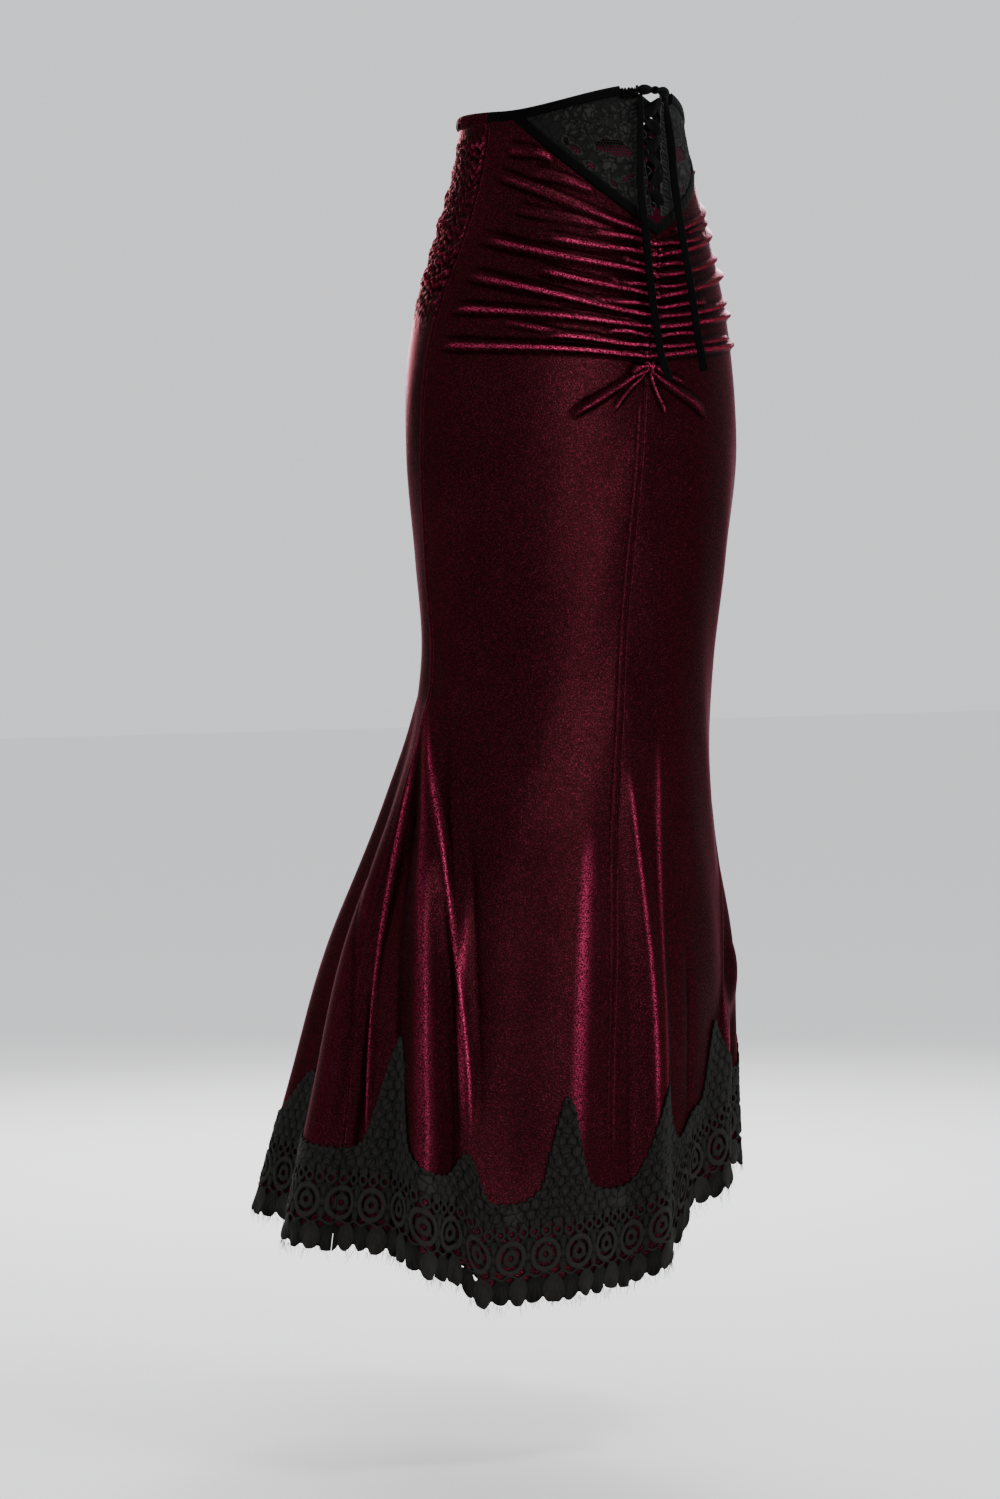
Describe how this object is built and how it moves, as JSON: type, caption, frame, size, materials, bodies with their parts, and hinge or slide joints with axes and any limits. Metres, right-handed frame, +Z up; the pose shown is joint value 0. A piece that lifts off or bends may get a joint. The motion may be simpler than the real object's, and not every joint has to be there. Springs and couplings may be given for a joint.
{
  "type": "mermaid fishtail skirt",
  "caption": "Long stretch velvet fishtail skirt with a gathered front, a laced lace yoke, a fluted flare and a deep scalloped lace hem, in its worn hollow form.",
  "frame": {"origin": "centre of the waist, level with the top of the yoke, where the wearer's waist holds the skirt up", "axes": "+Z up along the wearer's height, -Y to the front, -X to the wearer's right"},
  "size_m": [0.457, 0.4752, 1.1073],
  "materials": {
    "velvet_front_right": "stretch velvet",
    "velvet_front_left": "stretch velvet",
    "velvet_back_right": "stretch velvet",
    "velvet_back_left": "stretch velvet",
    "velvet_casing": "stretch velvet",
    "yoke_lace_right": "matt floral lace",
    "yoke_lace_left": "matt floral lace",
    "yoke_binding_right": "velvet ribbon",
    "yoke_binding_left": "velvet ribbon",
    "waist_binding_right": "velvet ribbon",
    "waist_binding_left": "velvet ribbon",
    "loop_tape_right": "satin tape",
    "loop_tape_left": "satin tape",
    "lacing_under": "velvet ribbon",
    "lacing_over": "velvet ribbon",
    "lacing_knot": "velvet ribbon",
    "lacing_end_right": "velvet ribbon",
    "lacing_end_left": "velvet ribbon",
    "hem_lace_front": "matt corded lace",
    "hem_lace_back": "matt corded lace",
    "hem_fringe_front": "lace threads",
    "hem_fringe_back": "lace threads"
  },
  "bodies": {
    "root": {"front_panel_right": "velvet_front_right", "front_panel_left": "velvet_front_left", "back_panel_right": "velvet_back_right", "back_panel_left": "velvet_back_left", "back_waist_casing": "velvet_casing", "yoke_lace_right": "yoke_lace_right", "yoke_lace_left": "yoke_lace_left", "yoke_binding_right": "yoke_binding_right", "yoke_binding_left": "yoke_binding_left", "waist_binding_right": "waist_binding_right", "waist_binding_left": "waist_binding_left", "loop_tape_right": "loop_tape_right", "loop_tape_left": "loop_tape_left", "lacing_under": "lacing_under", "lacing_over": "lacing_over", "lacing_knot": "lacing_knot", "lacing_end_right": "lacing_end_right", "lacing_end_left": "lacing_end_left", "hem_lace_front": "hem_lace_front", "hem_lace_back": "hem_lace_back", "hem_fringe_front": "hem_fringe_front", "hem_fringe_back": "hem_fringe_back"}
  },
  "joints": []
}
